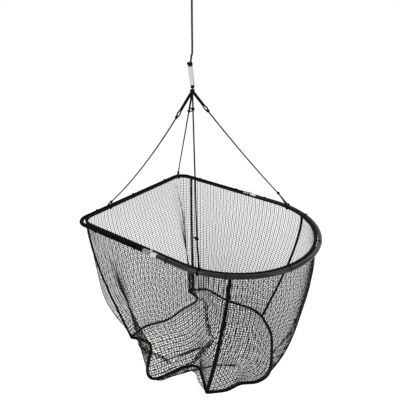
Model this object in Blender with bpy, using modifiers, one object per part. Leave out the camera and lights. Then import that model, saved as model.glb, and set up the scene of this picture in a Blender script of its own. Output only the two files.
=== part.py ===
"""Folding drop net: a D-shaped rim in two hinged halves, four bridles, one rope and a net bag.

Units are metres, +Z is up, +X runs from the back bar to the nose.
The origin is the inside top of the rope's loop.
"""
import bpy
import bmesh
from math import ceil, cos, pi, radians, sin, sqrt
from mathutils import Matrix, Vector

# Rim, all on the tube's centreline
RIM_WIDTH = 0.600
BACK_LENGTH = 0.375
NOSE_STRAIGHT = 0.1225
CORNER_RADIUS = 0.050
TUBE_RADIUS = 0.0075
TUBE_WALL = 0.0012

# Where the rim hangs: its hinge centre under the rope's loop
RIM_OFFSET_X = 0.021
RIM_OFFSET_Y = 0.050
RIM_DROP = 0.860

# Hinges
SOCKET_RADIUS = 0.0085
SOCKET_LENGTH = 0.0255
SOCKET_FACE = 0.0045
TUBE_END = 0.010
PIVOT_HEIGHT = SOCKET_RADIUS
EYE_RADIUS = 0.004
EYE_FOOT = 0.0045
EYE_REACH = 0.012
TONGUE_WIDTH = 0.0058
EAR_WIDTH = 0.003
BOLT_RADIUS = 0.002
BOLT_HEAD_RADIUS = 0.0036
BOLT_HEAD_HEIGHT = 0.002
BOLT_TAIL = 0.0008
NUT_RADIUS = 0.0038
NUT_HEIGHT = 0.0026
WASHER_THICKNESS = 0.0006
RIVET_RADIUS = 0.0015
RIVET_HEAD_RADIUS = 0.0026
RIVET_HEAD_HEIGHT = 0.001
RIVET_PLACE = 0.020
RIVET_DOME = 0.0002
HEAD_TAPER = 0.65

# Cords
CORD_RADIUS = 0.002
ROPE_RADIUS = 0.00325
HEAD_ROPE_RADIUS = 0.003
HEAD_ROPE_CORNER = 0.058
HEAD_ROPE_ANGLE = 8
TIE_RADIUS = 0.0015
TIE_SPACING = 0.190
TIE_FROM_END = 0.060

# Rope, measured up from the rim's plane
GATHER_HEIGHT = 0.483
GATHER_RADIUS = 0.0078
SLEEVE_FOOT = 0.504
SLEEVE_LENGTH = 0.058
SLEEVE_LEAN = 0.0067
SLEEVE_RADIUS = 0.0085
SLEEVE_BORE = 0.0071
SLEEVE_TURN = 38
STOPPER_RADIUS = 0.0072
STOPPER_WIDTH = 1.25
STOPPER_SIDE = 0.004
ROPE_BEND = 0.030
TOP_KNOT_HEIGHT = 0.783
TOP_KNOT_RADIUS = 0.009
TOP_KNOT_STRETCH = 1.4
LOOP_WIDTH = 0.036
LOOP_STEPS = 24
EYE_TURN_STEPS = 6

# Bridles: where each meets the rim, its two knots as distances from its upper and lower ends, and its sag
BRIDLES = {
    "bridle_back_right": {"rim": (-0.375, -0.132), "top_knot": 0.090, "foot_knot": 0.014, "sag": 0.030},
    "bridle_back_left": {"rim": (-0.3683, 0.275), "top_knot": 0.118, "foot_knot": 0.014, "sag": 0.0},
    "bridle_nose_left": {"rim": (0.178, 0.295), "top_knot": 0.077, "foot_knot": 0.050, "sag": 0.0},
    "bridle_nose_right": {"rim": (0.184, -0.294), "top_knot": 0.052, "foot_knot": 0.092, "sag": 0.0},
}
BRIDLE_KNOT_RADIUS = 0.0046
BRIDLE_KNOT_STRETCH = 1.3
KNOT_TILT = 0.15
KNOT_DEPTHS = (0.2, 0.4)
RUN_STEPS = 6
TAG_LENGTH = 0.011
TAG_LEAN = 0.4

# Net bag
NET_THICKNESS = 0.0012
BELLY = 0.028
BELLY_RISE = 0.75
BINDING_RADIUS = 0.003
NET_BAR = 0.006
SEAM_FROM_BACK_RIGHT = 0.025
SEAM_FROM_BACK_LEFT = 0.060
SEAM_X_NOSE = 0.275
# The seam round the bottom panel, from the rim's hinge centre, run by run between the four upright seams
BOTTOM_RUNS = {
    "back": [(-0.188, -0.241, -0.480), (-0.183, -0.160, -0.475), (-0.142, -0.078, -0.475),
             (-0.131, 0.010, -0.470), (-0.150, 0.078, -0.465), (-0.188, 0.122, -0.460)],
    "side_left": [(-0.188, 0.122, -0.460), (-0.123, 0.172, -0.455), (-0.014, 0.168, -0.460),
                  (0.100, 0.188, -0.465), (0.160, 0.178, -0.470)],
    "nose": [(0.160, 0.178, -0.470), (0.229, 0.133, -0.490), (0.265, 0.085, -0.512),
             (0.308, 0.000, -0.545), (0.300, -0.070, -0.548), (0.262, -0.135, -0.532),
             (0.243, -0.196, -0.525), (0.209, -0.268, -0.500)],
    "side_right": [(0.209, -0.268, -0.500), (0.160, -0.228, -0.490), (0.117, -0.199, -0.490),
                   (0.058, -0.218, -0.510), (-0.022, -0.276, -0.570), (-0.070, -0.277, -0.563),
                   (-0.118, -0.203, -0.520), (-0.146, -0.217, -0.490), (-0.188, -0.241, -0.480)],
}
BOTTOM_CENTRE = (0.040, -0.080, -0.550)

# Making
GAP = 0.0003
RUN_GAP = 0.0002
ROUND_SIDES = 16
SMALL_SIDES = 12
MERGE = 0.00001
CUT_REACH = 0.020
WALL_ROWS = 5
COLUMNS = {"back": 12, "side_left": 10, "nose": 12, "side_right": 12}
BOTTOM_RINGS = 4
SMALL_SHARE = 0.01
ARC_STEP = radians(15)

HALF_WIDTH = RIM_WIDTH / 2
LOOP_PEAK = 3 * sqrt(3) / 8
ROPE_FROM_TUBE = TUBE_RADIUS + GAP + 2 * max(TIE_RADIUS, CORD_RADIUS) + GAP + HEAD_ROPE_RADIUS
ROPE_INSET = ROPE_FROM_TUBE * cos(radians(HEAD_ROPE_ANGLE))
ROPE_RISE = ROPE_FROM_TUBE * sin(radians(HEAD_ROPE_ANGLE))
NET_TOP = ROPE_RISE - HEAD_ROPE_RADIUS - GAP
SLEEVE_WAY = Vector((cos(radians(SLEEVE_TURN)), sin(radians(SLEEVE_TURN)), 0))


def clear_scene():
    for thing in list(bpy.data.objects):
        bpy.data.objects.remove(thing, do_unlink=True)


def new_collection(name):
    made = bpy.data.collections.new(name)
    bpy.context.scene.collection.children.link(made)
    return made


def finish(name, colour, roughness, metallic=0.0):
    """A plain material with the part's colour."""
    made = bpy.data.materials.get(name) or bpy.data.materials.new(name)
    made.use_nodes = True
    shader = made.node_tree.nodes["Principled BSDF"]
    shader.inputs["Base Color"].default_value = (*colour, 1)
    shader.inputs["Roughness"].default_value = roughness
    shader.inputs["Metallic"].default_value = metallic
    return made


clear_scene()
NET = new_collection("folding_drop_net")
CUTTERS = new_collection("cutters")
BLACK_TUBE = finish("black_anodised_tube", (0.012, 0.013, 0.015), 0.35, 0.6)
SILVER = finish("zinc_plated_steel", (0.62, 0.62, 0.60), 0.35, 1.0)
BLACK_CORD = finish("black_braided_cord", (0.012, 0.012, 0.012), 0.85)
NETTING = finish("black_netting", (0.03, 0.028, 0.027), 0.9)
BINDING = finish("black_binding", (0.008, 0.008, 0.008), 0.8)
WHITE_PLASTIC = finish("white_plastic", (0.78, 0.78, 0.75), 0.45)


def rim_point(x, y, z=0.0):
    """A point given from the rim's hinge centre, in the part's frame."""
    return Vector((RIM_OFFSET_X + x, RIM_OFFSET_Y + y, z - RIM_DROP))


def on_rope(height, aside=0.0):
    """A point on the rope's line, at a height above the rim's plane."""
    return Vector((0, 0, height - RIM_DROP)) + SLEEVE_WAY * aside


def add_object(name, data, material, collection=NET):
    made = bpy.data.objects.new(name, data)
    collection.objects.link(made)
    data.materials.append(material)
    return made


def body_empty(name, place):
    """The empty that a moving body's pieces hang on, on its joint's axis."""
    made = bpy.data.objects.new(name, None)
    made.location = place
    NET.objects.link(made)
    return made


def hold(body, *pieces):
    """Parents pieces to a body's empty without moving them."""
    bpy.context.view_layer.update()
    for piece in pieces:
        piece.parent = body
        piece.matrix_parent_inverse = body.matrix_world.inverted()


def cord(name, runs, radius, material, sides=8, closed=False):
    """One or more tubes along lists of points: a curve with a round bevel."""
    curve = bpy.data.curves.new(name, "CURVE")
    curve.dimensions = "3D"
    curve.bevel_depth = radius
    curve.bevel_resolution = (sides - 4) // 2
    curve.use_fill_caps = not closed
    for points in runs:
        spline = curve.splines.new("POLY")
        spline.points.add(len(points) - 1)
        for slot, point in zip(spline.points, points):
            slot.co = (*point, 1)
        spline.use_cyclic_u = closed
    return add_object(name, curve, material)


def as_mesh(thing):
    """The same piece as a mesh, with its caps welded, ready for a cut."""
    bpy.context.view_layer.update()
    depsgraph = bpy.context.evaluated_depsgraph_get()
    mesh = bpy.data.meshes.new_from_object(thing.evaluated_get(depsgraph))
    work = bmesh.new()
    work.from_mesh(mesh)
    bmesh.ops.remove_doubles(work, verts=work.verts, dist=MERGE)
    bmesh.ops.recalc_face_normals(work, faces=work.faces)
    work.to_mesh(mesh)
    work.free()
    name, place, homes = thing.name, thing.matrix_world.copy(), list(thing.users_collection)
    bpy.data.objects.remove(thing, do_unlink=True)
    made = bpy.data.objects.new(name, mesh)
    homes[0].objects.link(made)
    made.matrix_world = place
    return made


def fused(name, pieces):
    """One solid from several that run into each other."""
    first, *others = [as_mesh(p) for p in pieces]
    for other in others:
        boolean(first, "UNION", to_cutters(other))
    first.name = name
    first.data.name = name
    return first


def ball(name, centre, radii, material=BLACK_CORD, axis=(0, 0, 1)):
    """A knot: a small ball, longer along its axis where the third radius is larger."""
    work = bmesh.new()
    bmesh.ops.create_uvsphere(work, u_segments=10, v_segments=6, radius=1)
    mesh = bpy.data.meshes.new(name)
    work.to_mesh(mesh)
    work.free()
    mesh.shade_smooth()
    turn = Vector(axis).to_track_quat("Z", "Y").to_matrix().to_4x4()
    mesh.transform(Matrix.Translation(centre) @ turn @ Matrix.Diagonal((*radii, 1)))
    return add_object(name, mesh, material)


def ring(name, centre, normal, radius, thickness, sides=6):
    """A cord loop round a tube, square to it."""
    side = Vector(normal).normalized().orthogonal().normalized()
    up = Vector(normal).normalized().cross(side)
    turns = [2 * pi * k / ROUND_SIDES for k in range(ROUND_SIDES)]
    points = [Vector(centre) + (side * cos(a) + up * sin(a)) * radius for a in turns]
    return cord(name, [points], thickness, BLACK_CORD, sides=sides, closed=True)


def turned(name, profile, centre, axis, material, steps=ROUND_SIDES):
    """A turned solid: (radius, height) points from the top down the outer side, revolved about the axis."""
    mesh = bpy.data.meshes.new(name)
    work = bmesh.new()
    line = [work.verts.new((radius, 0, height)) for radius, height in profile]
    for a, b in zip(line, line[1:]):
        work.edges.new((a, b))
    work.to_mesh(mesh)
    work.free()
    made = add_object(name, mesh, material)
    screw = made.modifiers.new("turn", "SCREW")
    screw.axis = "Z"
    screw.steps = screw.render_steps = steps
    screw.use_merge_vertices = True
    screw.merge_threshold = MERGE
    made.rotation_mode = "QUATERNION"
    made.rotation_quaternion = Vector(axis).to_track_quat("Z", "Y")
    made.location = centre
    return made


def rod(name, start, end, radius, material=SILVER, sides=ROUND_SIDES, collection=NET):
    """A plain round bar between two points."""
    start, end = Vector(start), Vector(end)
    work = bmesh.new()
    bmesh.ops.create_cone(work, cap_ends=True, segments=sides, radius1=radius, radius2=radius,
                          depth=(end - start).length)
    mesh = bpy.data.meshes.new(name)
    work.to_mesh(mesh)
    work.free()
    made = add_object(name, mesh, material, collection)
    made.rotation_mode = "QUATERNION"
    made.rotation_quaternion = (end - start).to_track_quat("Z", "Y")
    made.location = (start + end) / 2
    return made


def boolean(target, operation, tool):
    change = target.modifiers.new(operation.lower(), "BOOLEAN")
    change.operation = operation
    change.solver = "EXACT"
    change.object = tool
    tool.hide_render = True
    tool.display_type = "WIRE"


def to_cutters(tool):
    for home in list(tool.users_collection):
        home.objects.unlink(tool)
    CUTTERS.objects.link(tool)
    return tool


def arc(centre, radius, start, end):
    """Points of a level arc, corner angles included."""
    steps = max(2, ceil(abs(end - start) / ARC_STEP))
    angles = [start + (end - start) * k / steps for k in range(steps + 1)]
    return [Vector((centre[0] + radius * cos(a), centre[1] + radius * sin(a), 0)) for a in angles]


def back_outline(inset, corner, start):
    """The rim's back half from the right hinge to the left one, a given distance inside the centreline."""
    half, back = HALF_WIDTH - inset, BACK_LENGTH - inset
    centre_x, centre_y = -back + corner, half - corner
    points = [Vector((-start, -half, 0))]
    points += arc((centre_x, -centre_y), corner, 1.5 * pi, pi)
    points += arc((centre_x, centre_y), corner, pi, 0.5 * pi)
    points += [Vector((-start, half, 0))]
    return points


def nose_outline(inset, start):
    """The rim's nose half from the left hinge round to the right one."""
    half = HALF_WIDTH - inset
    return ([Vector((start, half, 0))] + arc((NOSE_STRAIGHT, 0), half, 0.5 * pi, -0.5 * pi)
            + [Vector((start, -half, 0))])


def placed(points, height=0.0):
    return [rim_point(p.x, p.y, p.z + height) for p in points]


def measured(points):
    """Running length at each point of a line."""
    lengths = [0.0]
    for a, b in zip(points, points[1:]):
        lengths.append(lengths[-1] + (b - a).length)
    return lengths


def point_at(points, lengths, distance):
    """The point and the direction at a distance along a line."""
    k = 1
    while k < len(points) - 1 and lengths[k] < distance:
        k += 1
    share = (distance - lengths[k - 1]) / (lengths[k] - lengths[k - 1])
    return points[k - 1].lerp(points[k], share), (points[k] - points[k - 1]).normalized()


def evenly(points, count):
    """count + 1 points at even distances along a line."""
    lengths = measured(points)
    return [point_at(points, lengths, lengths[-1] * k / count)[0] for k in range(count + 1)]


def smoothed(points, steps=6):
    """A smooth curve through points, a Catmull-Rom line."""
    points = [Vector(p) for p in points]
    ends = [2 * points[0] - points[1]] + points + [2 * points[-1] - points[-2]]
    line = []
    for a, b, c, d in zip(ends, ends[1:], ends[2:], ends[3:]):
        for k in range(steps):
            t = k / steps
            line.append(0.5 * (2 * b + (c - a) * t + (2 * a - 5 * b + 4 * c - d) * t ** 2
                               + (3 * b - a - 3 * c + d) * t ** 3))
    return line + [points[-1]]


def rim_tube(name, outline):
    """A hollow tube along one half of the rim, open at both ends."""
    tube = cord(name, [placed(outline)], TUBE_RADIUS, BLACK_TUBE, sides=12)
    tube.data.use_fill_caps = False
    tube = as_mesh(tube)
    tube.data.materials.clear()
    tube.data.materials.append(BLACK_TUBE)
    tube.data.shade_smooth()
    wall = tube.modifiers.new("wall", "SOLIDIFY")
    wall.thickness = TUBE_WALL
    wall.offset = -1
    wall.use_even_offset = True
    place = RIVET_PLACE if name == "nose_tube" else -RIVET_PLACE
    for side in (-1, 1):
        inside = rim_point(place, side * (HALF_WIDTH - CUT_REACH))
        outside = rim_point(place, side * (HALF_WIDTH + CUT_REACH))
        hole = rod(name + "_rivet_hole", inside, outside, RIVET_RADIUS + RUN_GAP)
        boolean(tube, "DIFFERENCE", to_cutters(hole))
    return tube


def eye_profile(reach):
    """The outline of a hinge ear or tongue from the side: a plate with a round eye at the pivot."""
    steps = 8
    eye = [(EYE_RADIUS * cos(pi * k / steps), PIVOT_HEIGHT + EYE_RADIUS * sin(pi * k / steps))
           for k in range(steps + 1)]
    return [(reach, -EYE_FOOT), (-EYE_RADIUS, -EYE_FOOT)] + eye[::-1] + [(reach, EYE_FOOT)]


def hinge_plate(name, side, sign, near, far):
    """A plate with an eye, between two distances from the tube's axis, its body towards sign."""
    outline = eye_profile(EYE_REACH)
    curve = bpy.data.curves.new(name, "CURVE")
    curve.dimensions = "2D"
    curve.fill_mode = "BOTH"
    curve.extrude = (far - near) / 2
    spline = curve.splines.new("POLY")
    spline.points.add(len(outline) - 1)
    for slot, (x, z) in zip(spline.points, outline):
        slot.co = (sign * x, z, 0, 1)
    spline.use_cyclic_u = True
    plate = add_object(name, curve, SILVER, CUTTERS)
    plate.rotation_euler = (pi / 2, 0, 0)
    plate.location = rim_point(0, side * HALF_WIDTH + (near + far) / 2)
    plate = as_mesh(plate)
    plate.hide_render = True
    return plate


def hinge_socket(name, side, sign, plates):
    """A hinge half: a sleeve over the tube's end, with ears or a tongue at its face."""
    axis_y = side * HALF_WIDTH
    sleeve_end = SOCKET_FACE + SOCKET_LENGTH
    face, end = rim_point(sign * SOCKET_FACE, axis_y), rim_point(sign * sleeve_end, axis_y)
    sleeve = rod(name, face, end, SOCKET_RADIUS)
    sleeve.data.materials.clear()
    sleeve.data.materials.append(SILVER)
    for k, (near, far) in enumerate(plates):
        boolean(sleeve, "UNION", hinge_plate(f"{name}_plate_{k}", side, sign, near, far))
    start = rim_point(sign * (TUBE_END - GAP), axis_y)
    stop = rim_point(sign * (sleeve_end + CUT_REACH), axis_y)
    bore = rod(name + "_bore", start, stop, (TUBE_RADIUS + GAP) / cos(pi / ROUND_SIDES))
    boolean(sleeve, "DIFFERENCE", to_cutters(bore))
    holes = ((0, PIVOT_HEIGHT, BOLT_RADIUS), (sign * RIVET_PLACE, 0, RIVET_RADIUS))
    for k, (x, z, radius) in enumerate(holes):
        near_end, far_end = rim_point(x, axis_y - CUT_REACH, z), rim_point(x, axis_y + CUT_REACH, z)
        hole = rod(f"{name}_hole_{k}", near_end, far_end, radius + RUN_GAP)
        boolean(sleeve, "DIFFERENCE", to_cutters(hole))
    if len(plates) > 1:
        slot_half = TONGUE_WIDTH / 2 + GAP
        slot = bpy.data.meshes.new(name + "_slot")
        work = bmesh.new()
        bmesh.ops.create_cube(work, size=1)
        work.to_mesh(slot)
        work.free()
        cutter = add_object(name + "_slot", slot, SILVER, CUTTERS)
        cutter.scale = (2 * SOCKET_FACE, 2 * slot_half, 2 * CUT_REACH)
        cutter.location = rim_point(0, axis_y, 0)
        boolean(sleeve, "DIFFERENCE", cutter)
    return sleeve


def rivet(name, x, side):
    """A dome-headed rivet through a socket and its tube, headed on both sides."""
    reach = SOCKET_RADIUS + GAP / 3
    top = reach + RIVET_HEAD_HEIGHT
    crown = RIVET_HEAD_RADIUS * HEAD_TAPER
    profile = [(0, top), (crown, top - RIVET_DOME), (RIVET_HEAD_RADIUS, reach), (RIVET_RADIUS, reach),
               (RIVET_RADIUS, -reach), (RIVET_HEAD_RADIUS, -reach), (crown, RIVET_DOME - top), (0, -top)]
    return turned(name, profile, rim_point(x, side * HALF_WIDTH), (0, 1, 0), SILVER, steps=SMALL_SIDES)


def hinge(side_name, side):
    """One hinge: clevis, tongue, bolt, nut and washers, as the back half's pieces and the nose half's."""
    half_tongue = TONGUE_WIDTH / 2
    inner_ear = half_tongue + GAP
    outer_ear = inner_ear + EAR_WIDTH
    clevis = hinge_socket(f"{side_name}_hinge_clevis", side, -1,
                          [(-outer_ear, -inner_ear), (inner_ear, outer_ear)])
    tongue = hinge_socket(f"{side_name}_hinge_tongue", side, 1, [(-half_tongue, half_tongue)])
    pivot = rim_point(0, side * HALF_WIDTH, PIVOT_HEIGHT)
    outward = Vector((0, side, 0))
    seat = outer_ear + GAP / 2 + WASHER_THICKNESS + GAP / 2
    profile = [(0, seat + BOLT_HEAD_HEIGHT), (BOLT_HEAD_RADIUS * HEAD_TAPER, seat + BOLT_HEAD_HEIGHT),
               (BOLT_HEAD_RADIUS, seat + BOLT_HEAD_HEIGHT / 2), (BOLT_HEAD_RADIUS, seat),
               (BOLT_RADIUS, seat), (BOLT_RADIUS, -seat - NUT_HEIGHT - BOLT_TAIL),
               (0, -seat - NUT_HEIGHT - BOLT_TAIL)]
    bolt = turned(f"{side_name}_hinge_bolt", profile, pivot, outward, SILVER)
    nut = rod(f"{side_name}_hinge_nut", pivot - outward * (seat + NUT_HEIGHT), pivot - outward * seat,
              NUT_RADIUS, sides=6)
    hole = rod(f"{side_name}_nut_hole", pivot - outward * CUT_REACH, pivot, BOLT_RADIUS + RUN_GAP)
    boolean(nut, "DIFFERENCE", to_cutters(hole))
    washers = []
    for way, label in ((-1, "inner"), (1, "outer")):
        start = outer_ear + GAP / 2
        low, high = sorted((way * start, way * (start + WASHER_THICKNESS)))
        inner, outer = BOLT_RADIUS + RUN_GAP, BOLT_HEAD_RADIUS
        profile = [(inner, high), (outer, high), (outer, low), (inner, low), (inner, high)]
        name = f"{side_name}_hinge_washer_{label}"
        washers.append(turned(name, profile, pivot, outward, SILVER, steps=SMALL_SIDES))
    return [clevis, bolt, nut] + washers, [tongue]


def ties(name, outline, first, skip=()):
    """Cord rings that hold the head rope to one half of the rim, at even distances."""
    lengths = measured(outline)
    count = round((lengths[-1] - 2 * first) / TIE_SPACING)
    rings = []
    for k in range(count + 1):
        place, way = point_at(outline, lengths, first + (lengths[-1] - 2 * first) * k / count)
        if any((place - Vector((*other, 0))).length < 4 * TIE_RADIUS for other in skip):
            continue
        rings.append(ring(f"{name}_{len(rings) + 1}", rim_point(place.x, place.y), way,
                          TUBE_RADIUS + GAP + TIE_RADIUS, TIE_RADIUS, sides=4))
    return rings


def rim_direction(x, y):
    """The tube's direction at a point of the rim's centreline."""
    lines = [back_outline(0, CORNER_RADIUS, TUBE_END), nose_outline(0, TUBE_END)]
    best = None
    for line in lines:
        for a, b in zip(line, line[1:]):
            share = max(0, min(1, (Vector((x, y, 0)) - a).dot(b - a) / (b - a).length_squared))
            near = a.lerp(b, share)
            miss = (near - Vector((x, y, 0))).length
            if best is None or miss < best[0]:
                best = (miss, near, (b - a).normalized())
    return best[1], best[2]


def bridle(name, rim, top_knot, foot_knot, sag):
    """One bridle: a doubled eye at the top, a knot, a single run, a knot and a loop round the tube."""
    near, way = rim_direction(*rim)
    foot = rim_point(near.x, near.y)
    seat = foot + Vector((0, 0, TUBE_RADIUS + GAP + BRIDLE_KNOT_RADIUS))
    top = on_rope(GATHER_HEIGHT)
    start = top + (seat - top).normalized() * (GATHER_RADIUS + GAP)
    reach = (seat - start).length

    def hung(share):
        return start.lerp(seat, share) - Vector((0, 0, sag * 4 * share * (1 - share)))

    high_share, low_share = top_knot / reach, 1 - foot_knot / reach
    high_knot, low_knot = hung(high_share), hung(low_share)
    run = (high_knot - start).normalized()
    foot_run = (seat - low_knot).normalized()
    side = run.cross(Vector((0, 0, 1))).normalized()
    aside = (side - run * TAG_LEAN).normalized()
    solids = [ball(name + "_seat", seat, (BRIDLE_KNOT_RADIUS,) * 3)]
    solids.append(ring(name + "_loop", foot, way, TUBE_RADIUS + GAP + CORD_RADIUS, CORD_RADIUS))
    for sign, depth in zip((-1, 1), KNOT_DEPTHS):
        strand = run.cross(side) * (CORD_RADIUS + GAP / 2) * sign
        short = BRIDLE_KNOT_RADIUS * depth
        eye = [start + strand, high_knot + strand - run * short]
        leg = [low_knot + strand + foot_run * short, seat + strand - foot_run * short]
        solids.append(cord(name + "_eye", [eye], CORD_RADIUS, BLACK_CORD))
        solids.append(cord(name + "_leg", [leg], CORD_RADIUS, BLACK_CORD))
    into = BRIDLE_KNOT_RADIUS * KNOT_DEPTHS[0] / reach
    run_start, run_end = high_share + into, low_share - into
    shares = [run_start + (run_end - run_start) * k / RUN_STEPS for k in range(RUN_STEPS + 1)]
    solids.append(cord(name + "_run", [[hung(share) for share in shares]], CORD_RADIUS, BLACK_CORD))
    radii = (BRIDLE_KNOT_RADIUS, BRIDLE_KNOT_RADIUS, BRIDLE_KNOT_RADIUS * BRIDLE_KNOT_STRETCH)
    for label, place, along in (("high", high_knot, run), ("low", low_knot, foot_run)):
        solids.append(ball(f"{name}_{label}_knot", place, radii, axis=along + aside * KNOT_TILT))
        tag = [place + aside * CORD_RADIUS, place + aside * TAG_LENGTH]
        solids.append(cord(f"{name}_{label}_tag", [tag], CORD_RADIUS, BLACK_CORD))
    return fused(name, solids)


def between(line, start, end):
    """The stretch of a dense line from the point nearest start to the point nearest end."""
    first = min(range(len(line)), key=lambda k: (line[k] - start).length)
    last = min(range(len(line)), key=lambda k: (line[k] - end).length)
    return line[first:last + 1]


def head_line():
    """The head rope's whole centreline from the right hinge round the back and the nose, densely."""
    back = back_outline(ROPE_INSET, HEAD_ROPE_CORNER, 0)
    nose = nose_outline(ROPE_INSET, 0)
    whole = back + nose[1:]
    return evenly(whole, 600)


def wall_edges():
    """The top and bottom lines of the four walls, each from seam to seam, all one way round."""
    line = head_line()
    half = HALF_WIDTH - ROPE_INSET
    back_x = -(BACK_LENGTH - ROPE_INSET)

    def back_corner(side, from_back):
        """The point on the rope this far from its back line: on its corner, or on its straight side."""
        into_corner = max(0, HEAD_ROPE_CORNER - from_back)
        out = half - HEAD_ROPE_CORNER + sqrt(HEAD_ROPE_CORNER ** 2 - into_corner ** 2)
        return Vector((back_x + from_back, side * out, 0))

    nose_y = sqrt(half ** 2 - (SEAM_X_NOSE - NOSE_STRAIGHT) ** 2)
    right_back = back_corner(-1, SEAM_FROM_BACK_RIGHT)
    left_back = back_corner(1, SEAM_FROM_BACK_LEFT)
    left_nose, right_nose = Vector((SEAM_X_NOSE, nose_y, 0)), Vector((SEAM_X_NOSE, -nose_y, 0))
    ends = {"back": (right_back, left_back), "side_left": (left_back, left_nose),
            "nose": (left_nose, right_nose)}
    tops = {name: between(line, *pair) for name, pair in ends.items()}
    last = min(range(len(line)), key=lambda k: (line[k] - right_nose).length)
    first = min(range(len(line)), key=lambda k: (line[k] - right_back).length)
    tops["side_right"] = line[last:] + line[1:first + 1]
    edges = {}
    for name, top in tops.items():
        count = COLUMNS[name]
        upper = [Vector((p.x, p.y, NET_TOP)) for p in evenly(top, count)]
        edges[name] = (upper, evenly(smoothed(BOTTOM_RUNS[name]), count))
    return edges


def wall_point(upper, lower, share):
    """A point of a wall between its top and bottom edges: the net hangs a little outside the straight."""
    straight = upper.lerp(lower, share)
    outward = (upper + lower) / 2 - Vector((BOTTOM_CENTRE[0], BOTTOM_CENTRE[1], 0))
    outward.z = 0
    return straight + outward.normalized() * BELLY * sin(pi * share ** BELLY_RISE)


def sheet_grid(name, columns, rows, place):
    """A net panel: a flat grid moved to its place, opened in each cell, then given its thickness."""
    work = bmesh.new()
    bmesh.ops.create_grid(work, x_segments=columns, y_segments=rows, size=0.5)
    for vertex in work.verts:
        vertex.co = place(vertex.co.x + 0.5, vertex.co.y + 0.5)
    mesh = bpy.data.meshes.new(name)
    bmesh.ops.recalc_face_normals(work, faces=work.faces)
    cells = list(work.faces)
    bmesh.ops.inset_individual(work, faces=cells, thickness=NET_BAR / 2, use_even_offset=True)
    bmesh.ops.delete(work, geom=cells, context="FACES")
    work.to_mesh(mesh)
    work.free()
    made = add_object(name, mesh, NETTING)
    thick = made.modifiers.new("net", "SOLIDIFY")
    thick.thickness = NET_THICKNESS
    thick.offset = 0
    thick.use_even_offset = True
    return made


def inset_step(point, before, after, target, clear):
    """The step from a seam's point, square to the seam and towards a target, that clears both its sides."""
    along = (after - before).normalized()
    inward = target - point
    inward -= along * inward.dot(along)
    half_angle = (before - point).angle(after - point) / 2 if before != point != after else pi / 2
    return inward.normalized() * clear / sin(half_angle)


def wall_panel(name, upper, lower):
    """One wall of the bag, clear of the bindings on its two seams and on the bottom seam."""
    columns = len(upper) - 1
    clear = BINDING_RADIUS + GAP + NET_THICKNESS / 3
    lifts = [inset_step(lower[k], lower[max(k - 1, 0)], lower[min(k + 1, columns)], upper[k], clear)
             for k in range(columns + 1)]

    def place(u, share):
        k = round(u * columns)
        point = wall_point(upper[k], lower[k], share)
        step = lifts[k] * share
        if k in (0, columns):
            beside = 1 if k == 0 else columns - 1
            above = wall_point(upper[k], lower[k], max(share - SMALL_SHARE, 0))
            below = wall_point(upper[k], lower[k], share + SMALL_SHARE)
            step += inset_step(point, above, below, wall_point(upper[beside], lower[beside], share), clear)
        point += step
        return rim_point(*point)

    return sheet_grid(name, columns, WALL_ROWS, place)


def bottom_panel(edges):
    """The bottom of the bag: rings from its seam to its low middle, inside the binding."""
    seam = []
    for name in ("back", "side_left", "nose", "side_right"):
        seam += edges[name][1][:-1]
    centre = Vector(BOTTOM_CENTRE)
    count = len(seam)
    clear = BINDING_RADIUS + GAP + NET_THICKNESS
    hem = [point + inset_step(point, seam[k - 1], seam[(k + 1) % count], centre, clear)
           for k, point in enumerate(seam)]
    work = bmesh.new()
    rings = []
    for r in range(BOTTOM_RINGS):
        share = r / BOTTOM_RINGS
        circle = []
        for point in hem:
            place = point.lerp(centre, share)
            place.z = point.z + (centre.z - point.z) * sin(pi / 2 * share)
            circle.append(work.verts.new(rim_point(*place)))
        rings.append(circle)
    middle = work.verts.new(rim_point(*centre))
    for outer, inner in zip(rings, rings[1:]):
        for k in range(count):
            work.faces.new((outer[k], outer[(k + 1) % count], inner[(k + 1) % count], inner[k]))
    for k in range(count):
        work.faces.new((rings[-1][k], rings[-1][(k + 1) % count], middle))
    bmesh.ops.recalc_face_normals(work, faces=work.faces)
    mesh = bpy.data.meshes.new("net_bottom")
    work.to_mesh(mesh)
    work.free()
    mesh.shade_smooth()
    made = add_object("net_bottom", mesh, NETTING)
    thick = made.modifiers.new("net", "SOLIDIFY")
    thick.thickness = NET_THICKNESS
    thick.offset = 0
    return made


def seam_binding(name, upper, lower):
    """The bound seam down one corner of the bag, from the head rope to the bottom seam."""
    tall = (upper - lower).length
    first, last = BINDING_RADIUS / tall, 1 - (BINDING_RADIUS * 2 + GAP) / tall
    shares = [first + (last - first) * k / WALL_ROWS for k in range(WALL_ROWS + 1)]
    return cord(name, [[rim_point(*wall_point(upper, lower, s)) for s in shares]], BINDING_RADIUS, BINDING)


def bag():
    """The net bag: four walls, a bottom and the bound seams between them."""
    edges = wall_edges()
    pieces = [wall_panel("net_" + name, *pair) for name, pair in edges.items()]
    pieces.append(bottom_panel(edges))
    corners = {"seam_back_right": "back", "seam_back_left": "side_left", "seam_nose_left": "nose",
               "seam_nose_right": "side_right"}
    for name, wall in corners.items():
        upper, lower = edges[wall]
        pieces.append(seam_binding(name, upper[0], lower[0]))
    ring_line = []
    for name in ("back", "side_left", "nose", "side_right"):
        ring_line += [rim_point(*p) for p in edges[name][1][:-1]]
    pieces.append(cord("seam_bottom", [ring_line], BINDING_RADIUS, BINDING, sides=6, closed=True))
    return pieces


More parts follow.
